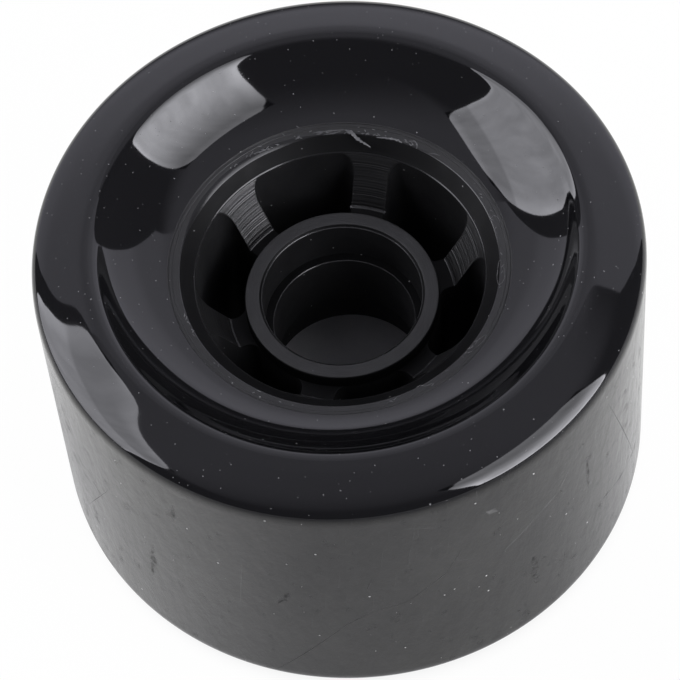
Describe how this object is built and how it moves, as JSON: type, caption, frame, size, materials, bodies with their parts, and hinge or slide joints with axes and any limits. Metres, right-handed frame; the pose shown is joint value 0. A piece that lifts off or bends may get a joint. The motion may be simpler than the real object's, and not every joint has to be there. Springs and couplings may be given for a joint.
{
  "type": "skateboard wheel",
  "caption": "Wide longboard wheel: a cast urethane tyre with dished sides on a moulded, spoked core with open pockets and an empty bearing seat at each end of its hub.",
  "frame": {"origin": "centre of the wheel, on the axle line, midway between its two sides", "axes": "+Z along the axle, towards the side that faces up as the wheel lies flat; +X along one spoke"},
  "size_m": [0.083, 0.083, 0.0526],
  "materials": {
    "urethane": "gloss black cast polyurethane, with a ground satin tread",
    "core_plastic": "satin black moulded plastic with fine turned lines on the spokes"
  },
  "bodies": {
    "root": {"tyre": "urethane", "core": "core_plastic"}
  },
  "joints": []
}
